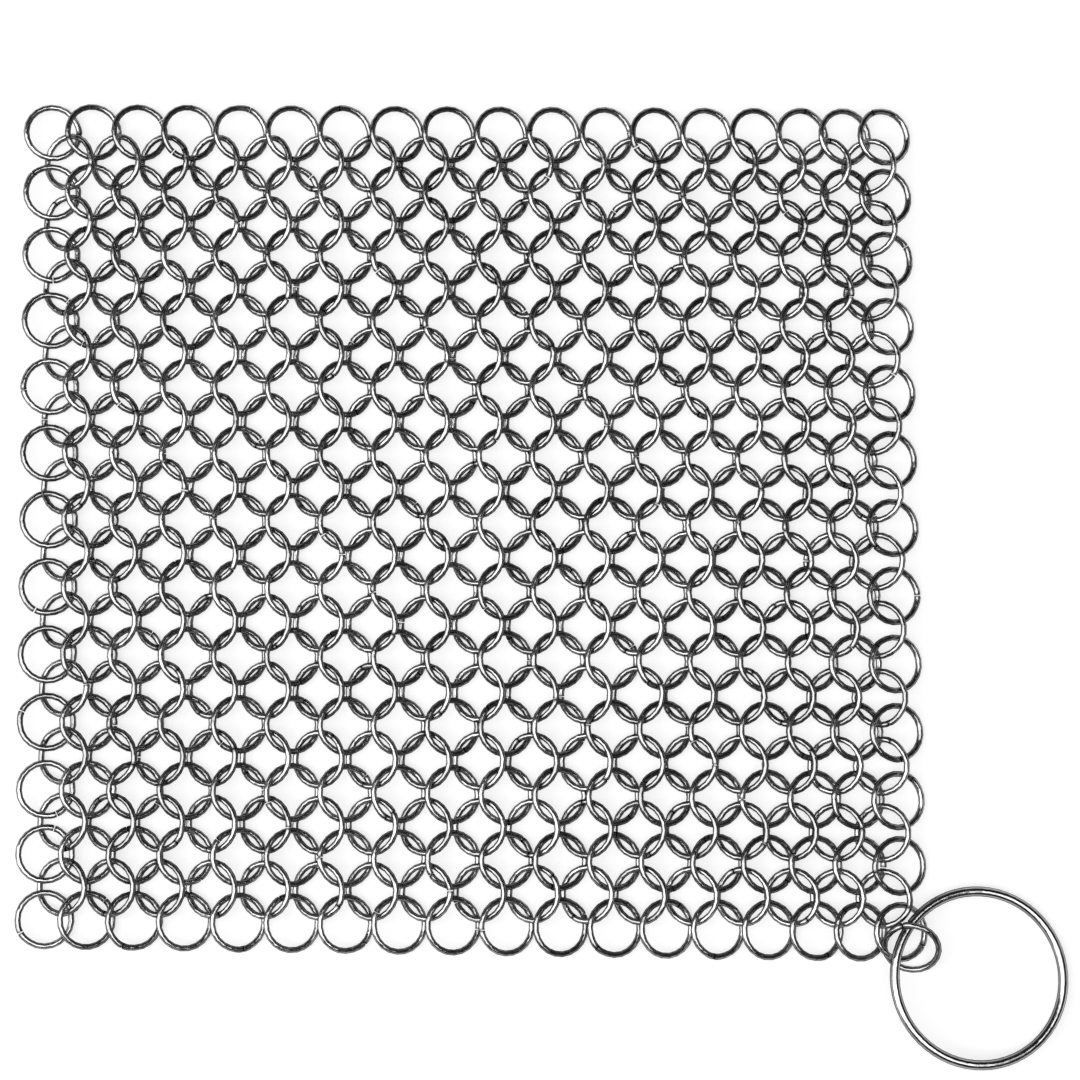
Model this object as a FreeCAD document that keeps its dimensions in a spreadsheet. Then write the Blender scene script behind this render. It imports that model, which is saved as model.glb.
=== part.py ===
import FreeCAD, Part
import math
import os

# Chain-mail pot scrubber: steel rings woven four-in-one, lying flat, with a hanging ring at one corner.
# Lengths in millimetres, angles in degrees. +X right, +Y towards the far edge, +Z up from the table.

doc = FreeCAD.newDocument("chain_mail_scrubber")

# Driving sizes
sizes = doc.addObject("Spreadsheet::Sheet", "sizes")
driving_sizes = {
    "ring_outer_diameter": 10.0,
    "ring_wire_diameter": 1.05,
    "ring_seam_gap": 0.2,
    "fold_clearance": 0.75,
    "row_clearance": 0.3,
    "carried_lift": 0.05,
    "hanging_outer_diameter": 30.0,
    "hanging_wire_diameter": 1.65,
    "hanging_seam_gap": 0.2,
    "ring_tilt": 23.0,
    "corner_tilt": 36.0,
    "corner_bearing": -107.0,
    "hanging_tilt": 8.9,
    "hanging_tilt_bearing": 27.0,
    "hanging_bearing": -24.5,
    "hanging_seam_bearing": 142.0,
}
for line, (name, value) in enumerate(driving_sizes.items(), start=1):
    sizes.set("A%d" % line, name)
    sizes.set("B%d" % line, str(value))
    sizes.setAlias("B%d" % line, name)
doc.recompute()

# Spacing of the right-leaning columns, left to right, as shares of the ring's mean diameter
column_pitch_shares = [
    0.80, 0.89, 0.95, 1.0, 1.0, 1.0, 1.0, 1.0, 1.0,
    1.0, 1.0, 0.96, 0.95, 0.94, 0.88, 0.81, 0.74,
]
# Spacing of the rows, far edge to near edge: 0 is as close as rings may lie, 1 is pulled tight
row_pitch_shares = [0.13, 0.5, 1.0, 1.0, 1.0, 1.0, 1.0, 1.0, 1.0, 0.88, 0.44, 0.5]
# Place of each left-leaning column between its two neighbours
between_share = 0.5
first_between_share = 0.42
last_between_share = 0.6
# The first column lies flatter, and the rows run slightly downhill to the right
first_tilt_share = 0.65
row_drop_share = 0.022
# Corner ring, from the last ring of the last column, in mean ring diameters
corner_right_share = 0.184
corner_near_share = 0.284
# The hanging ring's wire passes the corner ring's centre on the sheet's side, by this many mean diameters
thread_share = 0.233
# Seams are scattered round the rings by the golden angle, as a share of a full turn
seam_turn_share = 0.381966

# Values worked out from the sizes
ring_mean_diameter = sizes.ring_outer_diameter - sizes.ring_wire_diameter
ring_mean_radius = ring_mean_diameter / 2
hanging_mean_radius = (sizes.hanging_outer_diameter - sizes.hanging_wire_diameter) / 2

# Two linked rings cross where their planes meet, so that crossing sets how far apart rows can be pulled
crossing_offset = ring_mean_diameter / 4 / math.cos(math.radians(sizes.ring_tilt))
half_chord = math.sqrt(ring_mean_radius ** 2 - crossing_offset ** 2)
tight_row_pitch = 2 * (2 * half_chord - sizes.ring_wire_diameter - sizes.fold_clearance)
loose_row_pitch = sizes.ring_outer_diameter + sizes.row_clearance


def running_places(steps):
    """Places at the ends of consecutive steps, centred on zero."""
    places = [0.0]
    for step in steps:
        places.append(places[-1] + step)
    middle = (places[0] + places[-1]) / 2
    return [place - middle for place in places]


# Columns and rows of the right-leaning rings; the left-leaning ones lie between them
right_columns = running_places([share * ring_mean_diameter for share in column_pitch_shares])
row_steps = [loose_row_pitch + share * (tight_row_pitch - loose_row_pitch) for share in row_pitch_shares]
right_rows = [-place for place in running_places(row_steps)]
left_rows = [(far + near) / 2 for far, near in zip(right_rows, right_rows[1:])]

left_columns = []
for number, (left, right) in enumerate(zip(right_columns, right_columns[1:])):
    share = between_share
    if number == 0:
        share = first_between_share
    elif number == len(column_pitch_shares) - 1:
        share = last_between_share
    left_columns.append(left + share * (right - left))


def lying_ring(x, y, tilt, bearing, mean_radius, wire, lift=0):
    """A ring that leans its low side towards a bearing and rests there on the table, or just above it."""
    height = wire / 2 + mean_radius * math.sin(math.radians(tilt)) + lift
    return {"centre": FreeCAD.Vector(x, y, height), "tilt": tilt, "bearing": bearing}


# Every column as a list of rings, numbered from the left edge. The left-leaning rings are carried by
# their neighbours, just clear of the table.
columns = []
for number in range(len(right_columns) + len(left_columns)):
    leans_right = number % 2 == 0
    x = right_columns[number // 2] if leans_right else left_columns[number // 2]
    tilt = sizes.ring_tilt * (first_tilt_share if number == 0 else 1)
    bearing = 0 if leans_right else 180
    lift = 0 if leans_right else sizes.carried_lift
    rows = right_rows if leans_right else left_rows
    rings = []
    for y in rows:
        y_here = y - row_drop_share * x
        rings.append(lying_ring(x, y_here, tilt, bearing, ring_mean_radius, sizes.ring_wire_diameter, lift))
    columns.append(rings)

# The corner ring is a link through the last ring of the last column
corner_parent = columns[-1][-1]["centre"]
corner_x = corner_parent.x + corner_right_share * ring_mean_diameter
corner_y = corner_parent.y - corner_near_share * ring_mean_diameter
corner = lying_ring(corner_x, corner_y, sizes.corner_tilt, sizes.corner_bearing,
                    ring_mean_radius, sizes.ring_wire_diameter)

# The hanging ring is threaded through the corner ring
hanging_reach = hanging_mean_radius - thread_share * ring_mean_diameter
hanging_x = corner_x + hanging_reach * math.cos(math.radians(sizes.hanging_bearing))
hanging_y = corner_y + hanging_reach * math.sin(math.radians(sizes.hanging_bearing))
hanging = lying_ring(hanging_x, hanging_y, sizes.hanging_tilt, sizes.hanging_tilt_bearing,
                     hanging_mean_radius, sizes.hanging_wire_diameter)


def reach(tilt, bearing, mean_radius, wire):
    """Half the width of a leaning ring along X and along Y."""
    lean = math.sin(math.radians(tilt))
    lean_x = lean * math.cos(math.radians(bearing))
    lean_y = lean * math.sin(math.radians(bearing))
    half_x = mean_radius * math.sqrt(1 - lean_x ** 2) + wire / 2
    half_y = mean_radius * math.sqrt(1 - lean_y ** 2) + wire / 2
    return half_x, half_y


# The origin is under the middle of the whole part
everything = [(ring, ring_mean_radius, sizes.ring_wire_diameter) for rings in columns for ring in rings]
everything.append((corner, ring_mean_radius, sizes.ring_wire_diameter))
everything.append((hanging, hanging_mean_radius, sizes.hanging_wire_diameter))
x_ends = []
y_ends = []
for ring, mean_radius, wire in everything:
    half_x, half_y = reach(ring["tilt"], ring["bearing"], mean_radius, wire)
    x_ends += [ring["centre"].x - half_x, ring["centre"].x + half_x]
    y_ends += [ring["centre"].y - half_y, ring["centre"].y + half_y]
origin = FreeCAD.Vector((min(x_ends) + max(x_ends)) / 2, (min(y_ends) + max(y_ends)) / 2, 0)

# How each kind of ring takes its sizes from the sheet: round wire bent to a ring, its ends butted at a seam
wire_ring_expressions = {
    "Radius1": "(sizes.{0}_outer_diameter - sizes.{0}_wire_diameter) / 2",
    "Radius2": "sizes.{0}_wire_diameter / 2",
    "Angle3": "360 - 360 * sizes.{0}_seam_gap / (pi * (sizes.{0}_outer_diameter - sizes.{0}_wire_diameter))",
}


def wire_ring(label, kind, ring, seam_turn):
    """One ring of bent wire as a document object in its place, its seam turned to a bearing."""
    torus = doc.addObject("Part::Torus", label)
    torus.Label = label
    for size, expression in wire_ring_expressions.items():
        torus.setExpression(size, expression.format(kind))
    lean = FreeCAD.Rotation(ring["bearing"], ring["tilt"], 0)
    own_turn = FreeCAD.Rotation(FreeCAD.Vector(0, 0, 1), seam_turn - ring["bearing"])
    torus.Placement = FreeCAD.Placement(ring["centre"] - origin, lean.multiply(own_turn))
    return torus


# Document objects: a group of separate rings for each column, then the two single rings
subparts = []
small_rings = 0
for number, rings in enumerate(columns, start=1):
    label = "ring_column_%02d" % number
    column = doc.addObject("Part::Compound", label)
    column.Label = label
    links = []
    for place, ring in enumerate(rings, start=1):
        seam_turn = 360 * ((seam_turn_share * small_rings) % 1)
        links.append(wire_ring("ring_%02d_%02d" % (number, place), "ring", ring, seam_turn))
        small_rings += 1
    column.Links = links
    subparts.append(column)
corner_seam_turn = 360 * ((seam_turn_share * small_rings) % 1)
subparts.append(wire_ring("corner_ring", "ring", corner, corner_seam_turn))
subparts.append(wire_ring("hanging_ring", "hanging", hanging, sizes.hanging_seam_bearing))
doc.recompute()

# Nothing is written unless every object is sound
for thing in doc.Objects:
    if "Invalid" in thing.State or "Error" in thing.State:
        raise RuntimeError("failed object: " + thing.Label)
for subpart in subparts:
    if subpart.Shape.isNull() or not subpart.Shape.isValid():
        raise RuntimeError("bad shape: " + subpart.Label)

os.makedirs("parts", exist_ok=True)
for subpart in subparts:
    subpart.Shape.exportStep("parts/" + subpart.Label + ".step")
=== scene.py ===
import math
import random

import bmesh
import bpy
from bpy.props import FloatProperty, FloatVectorProperty, IntProperty, PointerProperty
from mathutils import Matrix, Vector


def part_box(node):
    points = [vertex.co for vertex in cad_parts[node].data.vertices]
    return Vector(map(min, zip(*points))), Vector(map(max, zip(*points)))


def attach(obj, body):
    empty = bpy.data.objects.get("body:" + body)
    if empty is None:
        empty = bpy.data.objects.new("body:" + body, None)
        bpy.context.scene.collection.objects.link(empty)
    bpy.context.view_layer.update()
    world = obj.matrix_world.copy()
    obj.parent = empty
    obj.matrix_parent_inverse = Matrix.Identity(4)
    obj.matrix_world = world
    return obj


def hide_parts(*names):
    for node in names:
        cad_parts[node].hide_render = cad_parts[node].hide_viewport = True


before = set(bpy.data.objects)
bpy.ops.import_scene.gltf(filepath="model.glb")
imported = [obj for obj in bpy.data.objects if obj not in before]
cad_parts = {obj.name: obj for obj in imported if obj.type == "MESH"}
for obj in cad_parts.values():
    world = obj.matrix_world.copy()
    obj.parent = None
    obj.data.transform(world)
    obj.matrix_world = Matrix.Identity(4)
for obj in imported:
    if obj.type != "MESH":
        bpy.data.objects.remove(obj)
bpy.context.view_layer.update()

bl_info = {
    "name": "Chain-mail pot scrubber",
    "version": (1, 0, 0),
    "blender": (4, 5, 0),
    "location": "View3D > Sidebar > Scrubber",
    "description": "Steel wire rings woven four-in-one, with a hanging ring at one corner",
    "category": "Object",
}

# Layout of the weave, in the part's own shares
COLUMN_PITCH_SHARES = (
    0.80, 0.89, 0.95, 1.0, 1.0, 1.0, 1.0, 1.0, 1.0,
    1.0, 1.0, 0.96, 0.95, 0.94, 0.88, 0.81, 0.74,
)
ROW_PITCH_SHARES = (0.13, 0.5, 1.0, 1.0, 1.0, 1.0, 1.0, 1.0, 1.0, 0.88, 0.44, 0.5)
BETWEEN_SHARE = 0.5
FIRST_BETWEEN_SHARE = 0.42
LAST_BETWEEN_SHARE = 0.6
FIRST_TILT_SHARE = 0.65
ROW_DROP_SHARE = 0.022
CORNER_RIGHT_SHARE = 0.184
CORNER_NEAR_SHARE = 0.284
THREAD_SHARE = 0.233
SEAM_TURN_SHARE = 0.381966

MM = 0.001

# Bent wire: shares of the whole bend, of the end slip and of the wire's diameter
END_STEP_SHARE = 0.025
SLIP_SHARES = (-1.0, -0.4, 0.0, 0.5, 1.0)
HANGING_SLIP_SHARE = 0.5
MERGE_SHARE = 1e-4
HANGING_EXTRA_SIDES = 2

# Furthest that a piece's box may be from its node's box
PLACE_TOLERANCE = 0.15 * MM

# Finish of both steels
NOISE_MIDDLE = 0.5
NOISE_APART = 40.0
SCUFF_SPAN = (0.52, 0.7)
PIT_SPAN = (0.62, 0.72)
LINE_SPAN = (0.32, 0.68)
LINE_SHADE = (0.5, 1.2)
RING_SHADE = (0.78, 1.12)
WARM_RINGS = (0.8, 0.95)
WARM_SHARE = 0.35
PIT_SHARE = 0.5
END_SHARE = 0.8
END_REACH = 0.45
SCUFF_DULLNESS = 0.1
LINE_DULLNESS = 0.08
END_DULLNESS = 0.15
PIT_RELIEF = -0.6
SCUFF_RELIEF = -0.25
RELIEF_STRENGTH = 0.35

# Stage, in metres, with the camera's sensor in millimetres as Blender has it
# A fade in the studio runs over the sine of the angle above the table
FLOOR_HALF_WIDTH = 6.0
FLOOR_DROP = 0.02 * MM
FLOOR_WHITE_GROWS = (0.15, 1.3)
SOFTBOX_SIZE = (1.9, 0.85)
SOFTBOX_PLACE = (-0.3, -0.16, 0.95)
STUDIO_FADE = (0.0, 0.65)
BACKDROP_FADE = (0.05, 0.17)
SENSOR_WIDTH = 36.0
CLIP_START = 0.01
CAMERA_TURN_DEGREES = (6.3944, 1.7797, -0.558)
CAMERA_AIM = (0.703 * MM, 6.2 * MM, 0.0)

LENGTH = {"unit": "LENGTH", "subtype": "DISTANCE", "precision": 5}
TURN = {"unit": "ROTATION", "subtype": "ANGLE"}
COLOUR = {"subtype": "COLOR", "size": 3, "min": 0.0, "max": 1.0}
SHARE = {"subtype": "FACTOR", "min": 0.0, "max": 1.0}


class ScrubberSizes(bpy.types.PropertyGroup):
    """Sizes of the rings and how they lie"""

    ring_outer: FloatProperty(
        name="Ring outside", description="Outside diameter of a small ring", default=10 * MM, **LENGTH)
    ring_wire: FloatProperty(
        name="Ring wire", description="Wire diameter of a small ring", default=1.05 * MM, **LENGTH)
    ring_seam: FloatProperty(
        name="Ring seam", description="Gap between a small ring's cut ends", default=0.2 * MM, **LENGTH)
    fold_clearance: FloatProperty(
        name="Fold clearance", description="Room left in the pulled weave", default=0.75 * MM, **LENGTH)
    row_clearance: FloatProperty(
        name="Row clearance", description="Gap between rings of a pushed-up column",
        default=0.3 * MM, **LENGTH)
    carried_lift: FloatProperty(
        name="Carried lift", description="Height of the carried rings above the table",
        default=0.05 * MM, **LENGTH)
    hanging_outer: FloatProperty(
        name="Hanging ring outside", description="Outside diameter of the hanging ring",
        default=30 * MM, **LENGTH)
    hanging_wire: FloatProperty(
        name="Hanging ring wire", description="Wire diameter of the hanging ring",
        default=1.65 * MM, **LENGTH)
    hanging_seam: FloatProperty(
        name="Hanging ring seam", description="Gap between the hanging ring's ends",
        default=0.2 * MM, **LENGTH)
    ring_tilt: FloatProperty(
        name="Ring tilt", description="Lean of the woven rings", default=math.radians(23), **TURN)
    corner_tilt: FloatProperty(
        name="Corner tilt", description="Lean of the corner ring", default=math.radians(36), **TURN)
    corner_bearing: FloatProperty(
        name="Corner bearing", description="Where the corner ring's low side points",
        default=math.radians(-107), **TURN)
    hanging_tilt: FloatProperty(
        name="Hanging tilt", description="Lean of the hanging ring", default=math.radians(8.9), **TURN)
    hanging_tilt_bearing: FloatProperty(
        name="Hanging low side", description="Where the hanging ring's low side points",
        default=math.radians(27), **TURN)
    hanging_bearing: FloatProperty(
        name="Hanging bearing", description="Where the hanging ring lies, seen from the corner ring",
        default=math.radians(-24.5), **TURN)
    hanging_seam_bearing: FloatProperty(
        name="Hanging seam", description="Where the hanging ring's seam lies, seen from its centre",
        default=math.radians(142), **TURN)
    end_slip: FloatProperty(
        name="End slip", description="Most that the two ends of a ring pass each other sideways",
        default=0.06 * MM, **LENGTH)
    wire_sides: IntProperty(
        name="Wire sides", description="Sides of the wire before smoothing", default=6, min=5, max=8)
    ring_steps: IntProperty(
        name="Ring steps", description="Steps round a small ring before smoothing",
        default=12, min=10, max=16)
    hanging_steps: IntProperty(
        name="Hanging ring steps", description="Steps round the hanging ring before smoothing",
        default=32, min=24, max=48)
    seed: IntProperty(
        name="Seed", description="Start of the random differences between rings", default=7)


class ScrubberFinish(bpy.types.PropertyGroup):
    """Colours and polish of the steel, with painted light on the wire's top and bottom and painted shade
    on its sides
    """

    # Painted light: steel colour of the wire's top and bottom
    painted_lit_crest: FloatVectorProperty(
        name="Painted light crest", description="Painted light on the top and bottom of a small ring's wire",
        default=(0.56, 0.56, 0.565), **COLOUR)
    # Painted shade: darker steel colour of the wire's sides
    painted_shade_flank: FloatVectorProperty(
        name="Painted shade flank", description="Painted shade on the sides of a small ring's wire",
        default=(0.17, 0.17, 0.173), **COLOUR)
    cut_end: FloatVectorProperty(
        name="Cut end", description="Steel at the cut ends", default=(0.05, 0.049, 0.048), **COLOUR)
    heat_tint: FloatVectorProperty(
        name="Straw tint", description="Faint warm tint of some rings",
        default=(0.36, 0.31, 0.25), **COLOUR)
    # Painted light: steel colour of the hanging ring's top and bottom
    hanging_painted_lit_crest: FloatVectorProperty(
        name="Hanging ring crest", description="Painted light on the top and bottom of the polished hanging ring's wire",
        default=(0.62, 0.62, 0.625), **COLOUR)
    # Painted shade: darker steel colour of the hanging ring's sides
    hanging_painted_shade_flank: FloatVectorProperty(
        name="Hanging ring flank", description="Painted shade on the sides of the hanging ring's wire",
        default=(0.19, 0.19, 0.193), **COLOUR)
    grazing: FloatVectorProperty(
        name="Grazing tint", description="Tint of the metal's reflection at its very edge",
        default=(0.05, 0.05, 0.05), **COLOUR)


class ScrubberStage(bpy.types.PropertyGroup):
    """Floor, light and camera"""

    floor: FloatVectorProperty(
        name="Floor", description="Colour of the floor", default=(0.48, 0.48, 0.48), **COLOUR)
    floor_glow: FloatProperty(
        name="Floor white", description="White that the floor shows by itself", default=0.65, **SHARE)
    softbox_power: FloatProperty(
        name="Softbox power", description="Power of the softbox", default=14.0, unit="POWER")
    horizon: FloatProperty(
        name="Horizon", description="Brightness of the studio at table height", default=0.2, **SHARE)
    ceiling: FloatProperty(
        name="Ceiling", description="Brightness of the studio overhead", default=0.01, **SHARE)
    lens: FloatProperty(
        name="Lens", description="Focal length in millimetres on a 36 mm frame",
        default=98.524, unit="CAMERA")
    distance: FloatProperty(
        name="Distance", description="Distance from the camera to the part", default=0.5, **LENGTH)


# Where every ring lies

def running_places(steps):
    """Places at the ends of consecutive steps, centred on zero."""
    places = [0.0]
    for step in steps:
        places.append(places[-1] + step)
    middle = (places[0] + places[-1]) / 2
    return [place - middle for place in places]


def lying_ring(x, y, tilt, bearing, mean_radius, wire, lift=0.0):
    """Centre, tilt and bearing of a ring that rests its low side on the table, or just above it."""
    height = wire / 2 + mean_radius * math.sin(tilt) + lift
    return Vector((x, y, height)), tilt, bearing


def weave(sizes):
    """Every ring of the part by node name, as a list of (centre, tilt, bearing)."""
    mean_diameter = sizes.ring_outer - sizes.ring_wire
    mean_radius = mean_diameter / 2
    hanging_radius = (sizes.hanging_outer - sizes.hanging_wire) / 2
    crossing = mean_diameter / 4 / math.cos(sizes.ring_tilt)
    half_chord = math.sqrt(mean_radius ** 2 - crossing ** 2)
    tight = 2 * (2 * half_chord - sizes.ring_wire - sizes.fold_clearance)
    loose = sizes.ring_outer + sizes.row_clearance

    right_columns = running_places([share * mean_diameter for share in COLUMN_PITCH_SHARES])
    row_steps = [loose + share * (tight - loose) for share in ROW_PITCH_SHARES]
    right_rows = [-y for y in running_places(row_steps)]
    left_rows = [(far + near) / 2 for far, near in zip(right_rows, right_rows[1:])]
    between = [BETWEEN_SHARE] * len(COLUMN_PITCH_SHARES)
    between[0] = FIRST_BETWEEN_SHARE
    between[-1] = LAST_BETWEEN_SHARE
    left_columns = [
        left + share * (right - left)
        for share, left, right in zip(between, right_columns, right_columns[1:])]

    rings = {}
    for number in range(len(right_columns) + len(left_columns)):
        leans_right = number % 2 == 0
        x = (right_columns if leans_right else left_columns)[number // 2]
        tilt = sizes.ring_tilt * (FIRST_TILT_SHARE if number == 0 else 1)
        bearing = 0 if leans_right else math.pi
        lift = 0 if leans_right else sizes.carried_lift
        rings["ring_column_%02d" % (number + 1)] = [
            lying_ring(x, y - ROW_DROP_SHARE * x, tilt, bearing, mean_radius, sizes.ring_wire, lift)
            for y in (right_rows if leans_right else left_rows)]

    holder = rings[list(rings)[-1]][-1][0]
    corner_x = holder.x + CORNER_RIGHT_SHARE * mean_diameter
    corner_y = holder.y - CORNER_NEAR_SHARE * mean_diameter
    rings["corner_ring"] = [lying_ring(
        corner_x, corner_y, sizes.corner_tilt, sizes.corner_bearing, mean_radius, sizes.ring_wire)]
    reach = hanging_radius - THREAD_SHARE * mean_diameter
    hanging_x = corner_x + reach * math.cos(sizes.hanging_bearing)
    hanging_y = corner_y + reach * math.sin(sizes.hanging_bearing)
    rings["hanging_ring"] = [lying_ring(
        hanging_x, hanging_y, sizes.hanging_tilt, sizes.hanging_tilt_bearing,
        hanging_radius, sizes.hanging_wire)]
    return rings


def placed(sizes):
    """Matrix of every ring by node name, each ring turned about its own axis to its seam."""
    rings = weave(sizes)
    first = rings["ring_column_01"][0][0]
    low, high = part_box("ring_column_01")
    shift_x = (low.x + high.x) / 2 - first.x
    ys = [centre.y for centre, _, _ in rings["ring_column_01"]]
    shift_y = (low.y + high.y) / 2 - (min(ys) + max(ys)) / 2
    shift = Matrix.Translation((shift_x, shift_y, 0))
    matrices = {}
    seams_made = 0
    for node, members in rings.items():
        matrices[node] = []
        for centre, tilt, bearing in members:
            seam_turn = 2 * math.pi * ((SEAM_TURN_SHARE * seams_made) % 1)
            if node == "hanging_ring":
                seam_turn = sizes.hanging_seam_bearing
            seams_made += 1
            lean = Matrix.Rotation(bearing, 4, "Z") @ Matrix.Rotation(tilt, 4, "Y")
            own_turn = Matrix.Rotation(seam_turn - bearing, 4, "Z")
            matrices[node].append(shift @ Matrix.Translation(centre) @ lean @ own_turn)
    return matrices


# Bent wire

def smoothed_share(step):
    """Share of its radius that a round of corners keeps when smoothed, by the angle of one step."""
    return (2 + math.cos(step)) / 3


def bent_wire(name, mean_radius, wire, seam, sides, steps, slip):
    """Template mesh of one ring: round wire bent about Z from the seam's one end to the other."""
    sweep = 2 * math.pi - seam / mean_radius
    short = END_STEP_SHARE * sweep
    step = (sweep - 2 * short) / (steps - 2)
    bend_radius = mean_radius / smoothed_share(step)
    section_radius = wire / 2 / smoothed_share(2 * math.pi / sides)
    bm = bmesh.new()
    run = bm.verts.layers.float_vector.new("wire_run")
    section = bmesh.ops.create_circle(bm, cap_ends=True, segments=sides, radius=section_radius)
    upright = Matrix.Rotation(math.pi / 2, 3, "X")
    bmesh.ops.rotate(bm, verts=section["verts"], cent=(0, 0, 0), matrix=upright)
    bmesh.ops.translate(bm, verts=section["verts"], vec=(bend_radius, 0, -slip / 2))
    end = bm.faces[:]
    for angle, count in ((short, 1), (sweep - 2 * short, steps - 2), (short, 1)):
        end = bmesh.ops.spin(
            bm, geom=end, cent=(0, 0, 0), axis=(0, 0, 1), dvec=(0, 0, slip * angle / sweep / count),
            angle=angle, steps=count, use_merge=False, use_duplicate=False)["geom_last"]
    bmesh.ops.remove_doubles(bm, verts=bm.verts[:], dist=wire * MERGE_SHARE)
    bmesh.ops.recalc_face_normals(bm, faces=bm.faces[:])

    # Distance along the wire and direction across it, kept on every vertex for the finish
    for vert in bm.verts:
        turn = math.atan2(vert.co.y, vert.co.x) % (2 * math.pi)
        if turn > 2 * math.pi - seam / mean_radius / 2:
            turn = 0.0
        middle_z = slip * turn / sweep - slip / 2
        out = Vector((math.hypot(vert.co.x, vert.co.y) - bend_radius, vert.co.z - middle_z)).normalized()
        vert[run] = (turn * mean_radius / MM, out.x, out.y)

    # The cut ends lie on the wire's own radius
    # The loops next to them are set so that the smoothed ring stays round up to there
    near_radius = (6 * mean_radius - mean_radius * math.cos(short) - bend_radius * math.cos(step)) / 4
    end_loops = (
        (0, mean_radius), (short, near_radius), (sweep - short, near_radius), (sweep, mean_radius))
    for turn, radius in end_loops:
        loop = [vert for vert in bm.verts if abs(vert[run].x * MM / mean_radius - turn) < short / 4]
        outward = Matrix.Rotation(turn, 3, "Z") @ Vector((1, 0, 0))
        bmesh.ops.translate(bm, verts=loop, vec=outward * (radius - bend_radius))

    # The rims of the cut ends stay crisp
    crease = bm.edges.layers.float.new("crease_edge")
    for face in bm.faces:
        face.smooth = len(face.verts) == 4
        if not face.smooth:
            for edge in face.edges:
                edge[crease] = 1.0
                edge.smooth = False
    mesh = bpy.data.meshes.new(name)
    bm.to_mesh(mesh)
    bm.free()
    return mesh


def wire_rings(piece_name, node, matrices, templates, draws, material):
    """One piece that stands for a node: a copy of a template for each ring, in its place."""
    bm = bmesh.new()
    run = bm.verts.layers.float_vector.new("wire_run")
    side = bm.verts.layers.float_vector.new("wire_side")
    tone = bm.verts.layers.float.new("ring_tone")
    for matrix in matrices:
        made = len(bm.verts)
        bm.from_mesh(draws.choice(templates))
        bm.verts.ensure_lookup_table()
        new = bm.verts[made:]
        ring_tone = draws.random()
        for vert in new:
            axis_out = Vector((vert.co.x, vert.co.y, 0)).normalized()
            vert[side] = matrix.to_3x3() @ (axis_out * vert[run].y + Vector((0, 0, vert[run].z)))
            vert[tone] = ring_tone
        bmesh.ops.transform(bm, matrix=matrix, verts=new)
    mesh = bpy.data.meshes.new(piece_name)
    bm.to_mesh(mesh)
    bm.free()
    mesh.materials.append(material)
    piece = bpy.data.objects.new(piece_name, mesh)
    bpy.context.scene.collection.objects.link(piece)
    rounding = piece.modifiers.new("Round wire", "SUBSURF")
    rounding.levels = 1
    rounding.render_levels = 1
    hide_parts(node)
    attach(piece, node)
    check_place(piece, node)


def check_place(piece, node):
    """Stop if a piece isn't where its node is."""
    bpy.context.view_layer.update()
    shape = piece.evaluated_get(bpy.context.evaluated_depsgraph_get()).to_mesh()
    low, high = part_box(node)
    for axis in range(3):
        places = [vert.co[axis] for vert in shape.vertices]
        off = max(abs(min(places) - low[axis]), abs(max(places) - high[axis]))
        if off > PLACE_TOLERANCE:
            raise RuntimeError(
                "%s isn't where %s is: off by %s along axis %d" % (piece.name, node, off, axis))


# Shader building

def add(tree, kind, values=None, links=None, **settings):
    """A node with settings, socket values and links from other nodes' sockets."""
    node = tree.nodes.new(kind)
    for name, value in settings.items():
        setattr(node, name, value)
    for socket, value in (values or {}).items():
        node.inputs[socket].default_value = value
    for socket, source in (links or {}).items():
        tree.links.new(source, node.inputs[socket])
    return node


def maths(tree, operation, first, second=0.5, third=0.0):
    """Result socket of a Math node whose inputs are sockets or numbers."""
    node = tree.nodes.new("ShaderNodeMath")
    node.operation = operation
    for socket, value in zip(node.inputs, (first, second, third)):
        if isinstance(value, (int, float)):
            socket.default_value = value
        else:
            tree.links.new(value, socket)
    return node.outputs[0]


def ramp(tree, value, start, end, low=0.0, high=1.0):
    """Result socket of a smooth Map Range."""
    node = add(tree, "ShaderNodeMapRange", interpolation_type="SMOOTHSTEP", links={"Value": value})
    for name, limit in (("From Min", start), ("From Max", end), ("To Min", low), ("To Max", high)):
        if isinstance(limit, (int, float)):
            node.inputs[name].default_value = limit
        else:
            tree.links.new(limit, node.inputs[name])
    return node.outputs["Result"]


def blend(tree, share, first, second, blend_type="MIX"):
    """Result socket of a colour mix; colours are sockets or plain values."""
    node = tree.nodes.new("ShaderNodeMix")
    node.data_type = "RGBA"
    node.blend_type = blend_type
    node.clamp_factor = True
    if isinstance(share, (int, float)):
        node.inputs[0].default_value = share
    else:
        tree.links.new(share, node.inputs[0])
    for socket, value in ((node.inputs[6], first), (node.inputs[7], second)):
        if isinstance(value, bpy.types.NodeSocket):
            tree.links.new(value, socket)
        else:
            socket.default_value = (*value, 1.0)
    return node.outputs[2]


def group(name, inputs, outputs):
    """A shader node group with named value sockets, and its input and output nodes."""
    tree = bpy.data.node_groups.new(name, "ShaderNodeTree")
    for socket, default in inputs.items():
        made = tree.interface.new_socket(socket, in_out="INPUT", socket_type="NodeSocketFloat")
        made.default_value = default
    for socket in outputs:
        tree.interface.new_socket(socket, in_out="OUTPUT", socket_type="NodeSocketFloat")
    return tree, tree.nodes.new("NodeGroupInput"), tree.nodes.new("NodeGroupOutput")


def attribute(tree, name, output):
    """An attribute's socket."""
    return add(tree, "ShaderNodeAttribute", attribute_name=name).outputs[output]


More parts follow.
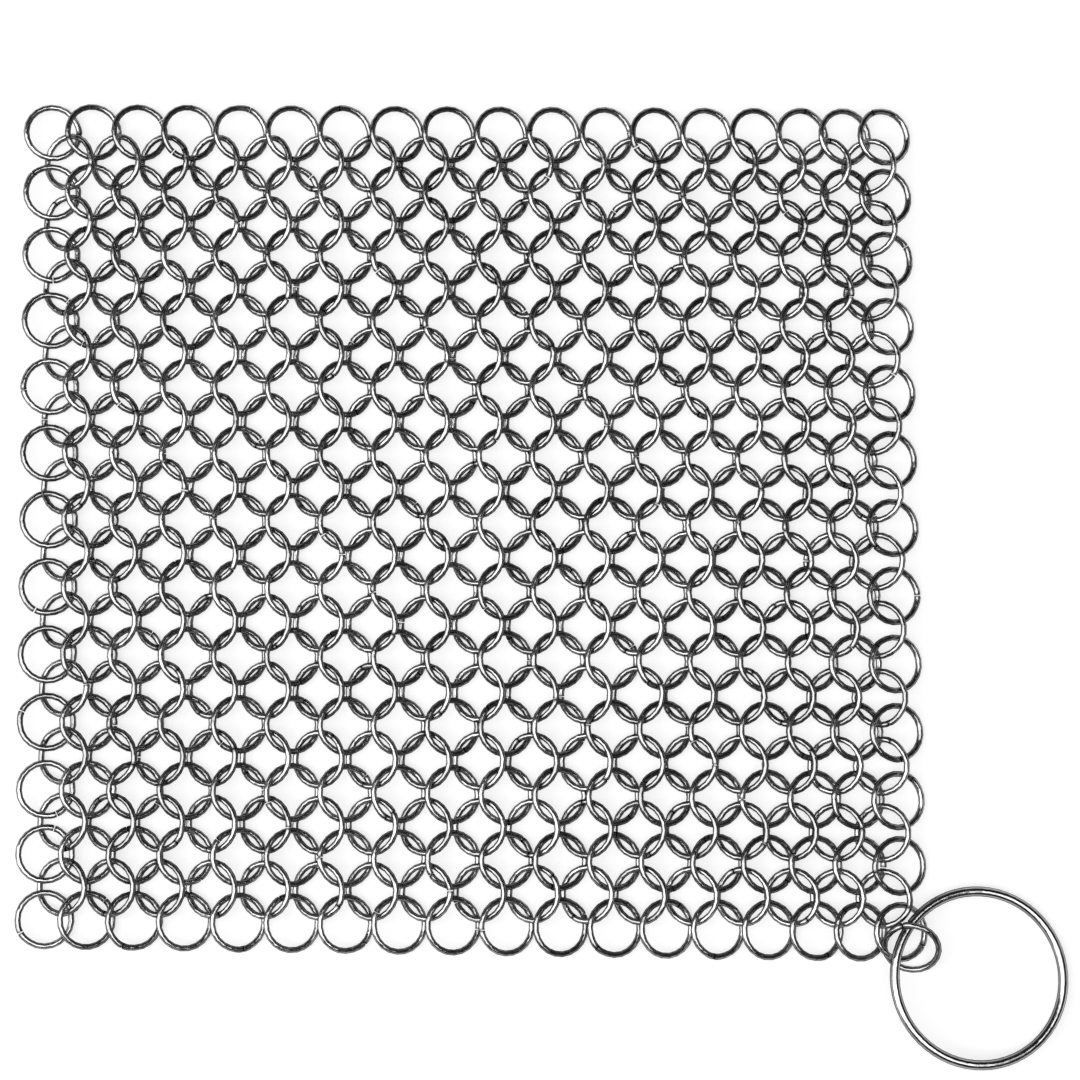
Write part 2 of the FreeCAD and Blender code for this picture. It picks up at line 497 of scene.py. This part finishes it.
def painted_light_crest_group():
    """Group that finds the top and bottom of the wire, where light is painted into the colour; the sides
    get painted shade.
    """
    tree, given, result = group(
        "Painted light crest", {"Start": 0.5, "Full": 0.9, "Raggedness": 0.1}, ["Crest"])
    side = add(tree, "ShaderNodeVectorMath", operation="NORMALIZE",
               links={0: attribute(tree, "wire_side", "Vector")})
    upward = add(tree, "ShaderNodeSeparateXYZ", links={0: side.outputs[0]}).outputs["Z"]
    height = maths(tree, "ABSOLUTE", upward)
    rough = add(tree, "ShaderNodeTexNoise", {"Scale": 900.0, "Detail": 3.0, "Roughness": 0.6},
                {"Vector": add(tree, "ShaderNodeTexCoord").outputs["Object"]})
    wander = maths(tree, "MULTIPLY", maths(tree, "SUBTRACT", rough.outputs[0], NOISE_MIDDLE),
                   given.outputs["Raggedness"])
    # Painted light on the top and bottom of the wire, painted shade on its sides
    painted_lit_crest = ramp(tree, maths(tree, "ADD", height, wander), given.outputs["Start"], given.outputs["Full"])
    tree.links.new(painted_lit_crest, result.inputs["Crest"])
    return tree


def drawn_wire_group():
    """Group of fine lines along the wire, left by drawing it, with scuffs and pits across them."""
    tree, given, result = group(
        "Drawn wire", {"Lines": 3.0, "Stretch": 0.12, "Scuff Size": 1.4, "Pit Size": 6.0},
        ["Lines", "Scuff", "Pits", "Waver", "Tone"])
    on_wire = attribute(tree, "wire_run", "Vector")
    run = add(tree, "ShaderNodeSeparateXYZ", links={0: on_wire})
    tone = attribute(tree, "ring_tone", "Fac")
    along = maths(tree, "MULTIPLY", run.outputs["X"], given.outputs["Stretch"])
    across = add(tree, "ShaderNodeCombineXYZ", links={
        "X": along,
        "Y": maths(tree, "MULTIPLY", run.outputs["Y"], given.outputs["Lines"]),
        "Z": maths(tree, "MULTIPLY", run.outputs["Z"], given.outputs["Lines"]),
    })
    own = maths(tree, "MULTIPLY", tone, NOISE_APART)
    lines = add(tree, "ShaderNodeTexNoise", {"Scale": 2.2, "Detail": 4.0, "Roughness": 0.62},
                {"Vector": across.outputs[0], "W": own}, noise_dimensions="4D")
    scuff = add(tree, "ShaderNodeTexNoise", {"Detail": 4.0, "Roughness": 0.68, "Distortion": 0.6},
                {"Vector": on_wire, "W": own, "Scale": given.outputs["Scuff Size"]}, noise_dimensions="4D")
    pits = add(tree, "ShaderNodeTexNoise", {"Detail": 2.0, "Roughness": 0.5},
               {"Vector": on_wire, "W": own, "Scale": given.outputs["Pit Size"]}, noise_dimensions="4D")
    waver = add(tree, "ShaderNodeTexNoise", {"Scale": 0.7, "Detail": 1.0, "Roughness": 0.5},
                {"Vector": on_wire, "W": own}, noise_dimensions="4D")
    found = {
        "Lines": lines.outputs[0],
        "Scuff": ramp(tree, scuff.outputs[0], *SCUFF_SPAN),
        "Pits": ramp(tree, pits.outputs[0], *PIT_SPAN),
        "Waver": waver.outputs[0],
        "Tone": tone,
    }
    for name, socket in found.items():
        tree.links.new(socket, result.inputs[name])
    return tree


def cut_end_group():
    """Group that finds the last bit of wire before each cut end."""
    tree, given, result = group("Cut ends", {"Wire Length": 28.0, "Reach": 0.5}, ["End"])
    on_wire = attribute(tree, "wire_run", "Vector")
    run = add(tree, "ShaderNodeSeparateXYZ", links={0: on_wire}).outputs["X"]
    left = maths(tree, "SUBTRACT", given.outputs["Wire Length"], run)
    nearest = maths(tree, "MINIMUM", run, left)
    tree.links.new(ramp(tree, nearest, 0.0, given.outputs["Reach"], 1.0, 0.0), result.inputs["End"])
    return tree


def steel(name, groups, finish, painted_lit_crest, painted_shade_flank, wire_length, painted_light_at, lines, roughness, bump, waver):
    """Uneven polished wire: painted light on the top and bottom, painted shade on the sides, drawn lines,
    scuffs, pits and dark cut ends.
    """
    material = bpy.data.materials.new(name)
    material.use_nodes = True
    tree = material.node_tree
    shader = tree.nodes["Principled BSDF"]
    shader.inputs["Metallic"].default_value = 1.0
    shader.inputs["Specular Tint"].default_value = (*finish.grazing, 1.0)

    # Mask of the wire's top and bottom, for painted light there and painted shade on the sides
    painted_light_mask = add(tree, "ShaderNodeGroup", node_tree=groups["painted_lit_crest"])
    painted_light_mask.inputs["Start"].default_value, painted_light_mask.inputs["Full"].default_value = painted_light_at
    drawn = add(tree, "ShaderNodeGroup", node_tree=groups["drawn"])
    drawn.inputs["Lines"].default_value, drawn.inputs["Stretch"].default_value = lines
    ends = add(tree, "ShaderNodeGroup", {"Wire Length": wire_length, "Reach": END_REACH},
               node_tree=groups["ends"])

    # Base colour: painted shade on the wire's sides, painted light on its top and bottom
    colour = blend(tree, painted_light_mask.outputs["Crest"], painted_shade_flank, painted_lit_crest)
    shade = ramp(tree, drawn.outputs["Lines"], *LINE_SPAN, *LINE_SHADE)
    tone = ramp(tree, drawn.outputs["Tone"], 0.0, 1.0, *RING_SHADE)
    colour = blend(tree, 1.0, colour, maths(tree, "MULTIPLY", shade, tone), "MULTIPLY")
    warm = maths(tree, "MULTIPLY", ramp(tree, drawn.outputs["Tone"], *WARM_RINGS),
                 maths(tree, "MULTIPLY", drawn.outputs["Scuff"], WARM_SHARE))
    colour = blend(tree, warm, colour, tuple(finish.heat_tint))
    for mask, share in ((drawn.outputs["Pits"], PIT_SHARE), (ends.outputs["End"], END_SHARE)):
        colour = blend(tree, maths(tree, "MULTIPLY", mask, share), colour, tuple(finish.cut_end))
    tree.links.new(colour, shader.inputs["Base Color"])

    dull = maths(tree, "MULTIPLY_ADD", drawn.outputs["Scuff"], SCUFF_DULLNESS, roughness)
    dull = maths(tree, "MULTIPLY_ADD", drawn.outputs["Lines"], LINE_DULLNESS, dull)
    dull = maths(tree, "MULTIPLY_ADD", ends.outputs["End"], END_DULLNESS, dull)
    tree.links.new(dull, shader.inputs["Roughness"])

    height = maths(tree, "MULTIPLY_ADD", drawn.outputs["Pits"], PIT_RELIEF, drawn.outputs["Lines"])
    height = maths(tree, "MULTIPLY_ADD", drawn.outputs["Scuff"], SCUFF_RELIEF, height)
    uneven = add(tree, "ShaderNodeBump", {"Strength": 1.0, "Distance": waver},
                 {"Height": drawn.outputs["Waver"]})
    relief = add(tree, "ShaderNodeBump", {"Strength": RELIEF_STRENGTH, "Distance": bump},
                 {"Height": height, "Normal": uneven.outputs[0]})
    tree.links.new(relief.outputs[0], shader.inputs["Normal"])
    return material


STEELS = {}


def steels():
    """The two steels, built once from shared groups."""
    if not STEELS:
        finish = bpy.context.scene.scrubber_finish
        sizes = bpy.context.scene.scrubber_sizes
        groups = {"painted_lit_crest": painted_light_crest_group(), "drawn": drawn_wire_group(), "ends": cut_end_group()}
        ring_length = math.pi * (sizes.ring_outer - sizes.ring_wire) - sizes.ring_seam
        hanging_length = math.pi * (sizes.hanging_outer - sizes.hanging_wire) - sizes.hanging_seam
        # The crest share pair sets where painted light on the wire's top and bottom starts and becomes
        # full; below it is painted shade
        STEELS["ring"] = steel(
            "ring_steel_painted_shade", groups, finish, tuple(finish.painted_lit_crest), tuple(finish.painted_shade_flank),
            wire_length=ring_length / MM, painted_light_at=(0.45, 0.92), lines=(3.2, 0.16),
            roughness=0.15, bump=0.02 * MM, waver=0.12 * MM)
        STEELS["hanging"] = steel(
            "hanging_steel_polished_painted_shade", groups, finish,
            tuple(finish.hanging_painted_lit_crest), tuple(finish.hanging_painted_shade_flank),
            wire_length=hanging_length / MM, painted_light_at=(0.3, 0.85), lines=(4.0, 0.06),
            roughness=0.11, bump=0.02 * MM, waver=0.05 * MM)
    return STEELS


def ring_templates(sizes):
    """Templates of the small ring, whose ends pass each other by a little more or less."""
    mean_radius = (sizes.ring_outer - sizes.ring_wire) / 2
    return [
        bent_wire("bent_ring_%d" % number, mean_radius, sizes.ring_wire, sizes.ring_seam,
                  sizes.wire_sides, sizes.ring_steps, share * sizes.end_slip)
        for number, share in enumerate(SLIP_SHARES)]


# Operators

class SCRUBBER_OT_woven_columns(bpy.types.Operator):
    """Make every column of woven rings"""

    bl_idname = "scrubber.woven_columns"
    bl_label = "Woven columns"

    def execute(self, context):
        sizes = context.scene.scrubber_sizes
        draws = random.Random(sizes.seed)
        templates = ring_templates(sizes)
        for node, matrices in placed(sizes).items():
            if node.startswith("ring_column"):
                wire_rings(node.replace("ring_column", "woven_rings"), node, matrices, templates, draws,
                           steels()["ring"])
        return {"FINISHED"}


class SCRUBBER_OT_corner_link(bpy.types.Operator):
    """Make the corner ring that holds the hanging ring"""

    bl_idname = "scrubber.corner_link"
    bl_label = "Corner link"

    def execute(self, context):
        sizes = context.scene.scrubber_sizes
        wire_rings("corner_link", "corner_ring", placed(sizes)["corner_ring"], ring_templates(sizes),
                   random.Random(sizes.seed + 1), steels()["ring"])
        return {"FINISHED"}


class SCRUBBER_OT_hanging_loop(bpy.types.Operator):
    """Make the large hanging ring"""

    bl_idname = "scrubber.hanging_loop"
    bl_label = "Hanging ring"

    def execute(self, context):
        sizes = context.scene.scrubber_sizes
        mean_radius = (sizes.hanging_outer - sizes.hanging_wire) / 2
        template = bent_wire("bent_hanging_ring", mean_radius, sizes.hanging_wire, sizes.hanging_seam,
                             sizes.wire_sides + HANGING_EXTRA_SIDES, sizes.hanging_steps,
                             HANGING_SLIP_SHARE * sizes.end_slip)
        wire_rings("hanging_loop", "hanging_ring", placed(sizes)["hanging_ring"], [template],
                   random.Random(sizes.seed + 2), steels()["hanging"])
        return {"FINISHED"}


class SCRUBBER_OT_stage(bpy.types.Operator):
    """Make the floor, the soft light and the camera"""

    bl_idname = "scrubber.stage"
    bl_label = "Stage"

    def execute(self, context):
        stage = context.scene.scrubber_stage
        make_floor(stage)
        make_light(context.scene, stage)
        make_camera(context.scene, stage)
        context.scene.view_settings.view_transform = "Standard"
        return {"FINISHED"}


def make_floor(stage):
    """A wide plain floor that is near white by itself and still takes the part's shadow."""
    bm = bmesh.new()
    bmesh.ops.create_grid(bm, x_segments=2, y_segments=2, size=FLOOR_HALF_WIDTH)
    bmesh.ops.translate(bm, verts=bm.verts[:], vec=(0, 0, -FLOOR_DROP))
    mesh = bpy.data.meshes.new("floor")
    bm.to_mesh(mesh)
    bm.free()
    material = bpy.data.materials.new("pale_floor")
    material.use_nodes = True
    tree = material.node_tree
    tree.nodes.clear()
    rays = add(tree, "ShaderNodeLightPath")
    seen = maths(tree, "MAXIMUM", rays.outputs["Is Camera Ray"], rays.outputs["Is Glossy Ray"])
    seen = maths(tree, "MAXIMUM", seen, rays.outputs["Is Transmission Ray"])
    # The floor's own white grows where the softbox no longer reaches
    away = add(tree, "ShaderNodeVectorMath", operation="LENGTH",
               links={0: add(tree, "ShaderNodeTexCoord").outputs["Object"]})
    white = ramp(tree, away.outputs["Value"], *FLOOR_WHITE_GROWS, stage.floor_glow, 1.0)
    glow = add(tree, "ShaderNodeEmission", {"Color": (1, 1, 1, 1)},
               {"Strength": maths(tree, "MULTIPLY", seen, white)})
    matt = add(tree, "ShaderNodeBsdfDiffuse", {"Color": (*stage.floor, 1.0)})
    both = add(tree, "ShaderNodeAddShader", links={0: glow.outputs[0], 1: matt.outputs[0]})
    add(tree, "ShaderNodeOutputMaterial", links={"Surface": both.outputs[0]})
    mesh.materials.append(material)
    floor = bpy.data.objects.new("floor", mesh)
    bpy.context.scene.collection.objects.link(floor)


def make_light(scene, stage):
    """A wide softbox overhead, to the left and near side, in a dim studio with a low white backdrop."""
    lamp = bpy.data.lights.new("softbox", "AREA")
    lamp.shape = "RECTANGLE"
    lamp.size, lamp.size_y = SOFTBOX_SIZE
    lamp.energy = stage.softbox_power
    softbox = bpy.data.objects.new("softbox", lamp)
    place = Vector(SOFTBOX_PLACE)
    back = place.normalized()
    side = (Vector((1, 0, 0)) - back * back.x).normalized()
    turn = Matrix((side, back.cross(side), back)).transposed().to_4x4()
    softbox.matrix_world = Matrix.Translation(place) @ turn
    scene.collection.objects.link(softbox)
    world = bpy.data.worlds.new("studio")
    world.use_nodes = True
    tree = world.node_tree
    direction = add(tree, "ShaderNodeTexCoord").outputs["Generated"]
    up = add(tree, "ShaderNodeSeparateXYZ", links={0: direction}).outputs["Z"]
    studio = ramp(tree, up, *STUDIO_FADE, stage.horizon, stage.ceiling)
    backdrop = ramp(tree, up, *BACKDROP_FADE, 1.0, 0.0)
    background = tree.nodes["Background"]
    background.inputs["Color"].default_value = (1, 1, 1, 1)
    tree.links.new(maths(tree, "MAXIMUM", studio, backdrop), background.inputs["Strength"])
    scene.world = world


def make_camera(scene, stage):
    """Camera above the part, leaning a little from straight down."""
    turn = Vector([math.radians(angle) for angle in CAMERA_TURN_DEGREES])
    aim = Vector(CAMERA_AIM)
    lens = bpy.data.cameras.new("camera")
    lens.sensor_width = SENSOR_WIDTH
    lens.lens = stage.lens
    lens.clip_start = CLIP_START
    camera = bpy.data.objects.new("camera", lens)
    rotation = Matrix.Rotation(turn.length, 4, turn.normalized())
    camera.matrix_world = Matrix.Translation(aim + rotation @ Vector((0, 0, stage.distance))) @ rotation
    scene.collection.objects.link(camera)
    scene.camera = camera


OPERATORS = [
    SCRUBBER_OT_woven_columns,
    SCRUBBER_OT_corner_link,
    SCRUBBER_OT_hanging_loop,
    SCRUBBER_OT_stage,
]


class SCRUBBER_PT_panel(bpy.types.Panel):
    """Sizes, finish and stage of the scrubber"""

    bl_idname = "SCRUBBER_PT_panel"
    bl_label = "Chain-mail scrubber"
    bl_space_type = "VIEW_3D"
    bl_region_type = "UI"
    bl_category = "Scrubber"

    def draw(self, context):
        scene = context.scene
        for settings in (scene.scrubber_sizes, scene.scrubber_finish, scene.scrubber_stage):
            box = self.layout.box()
            for name in settings.__annotations__:
                box.prop(settings, name)
        for operator in OPERATORS:
            self.layout.operator(operator.bl_idname)


CLASSES = [ScrubberSizes, ScrubberFinish, ScrubberStage, *OPERATORS, SCRUBBER_PT_panel]


def register():
    for cls in CLASSES:
        bpy.utils.register_class(cls)
    bpy.types.Scene.scrubber_sizes = PointerProperty(type=ScrubberSizes)
    bpy.types.Scene.scrubber_finish = PointerProperty(type=ScrubberFinish)
    bpy.types.Scene.scrubber_stage = PointerProperty(type=ScrubberStage)


def unregister():
    del bpy.types.Scene.scrubber_stage
    del bpy.types.Scene.scrubber_finish
    del bpy.types.Scene.scrubber_sizes
    for cls in reversed(CLASSES):
        bpy.utils.unregister_class(cls)


def main():
    """Register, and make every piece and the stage."""
    register()
    bpy.ops.scrubber.woven_columns()
    bpy.ops.scrubber.corner_link()
    bpy.ops.scrubber.hanging_loop()
    bpy.ops.scrubber.stage()


if __name__ == "__main__":
    main()
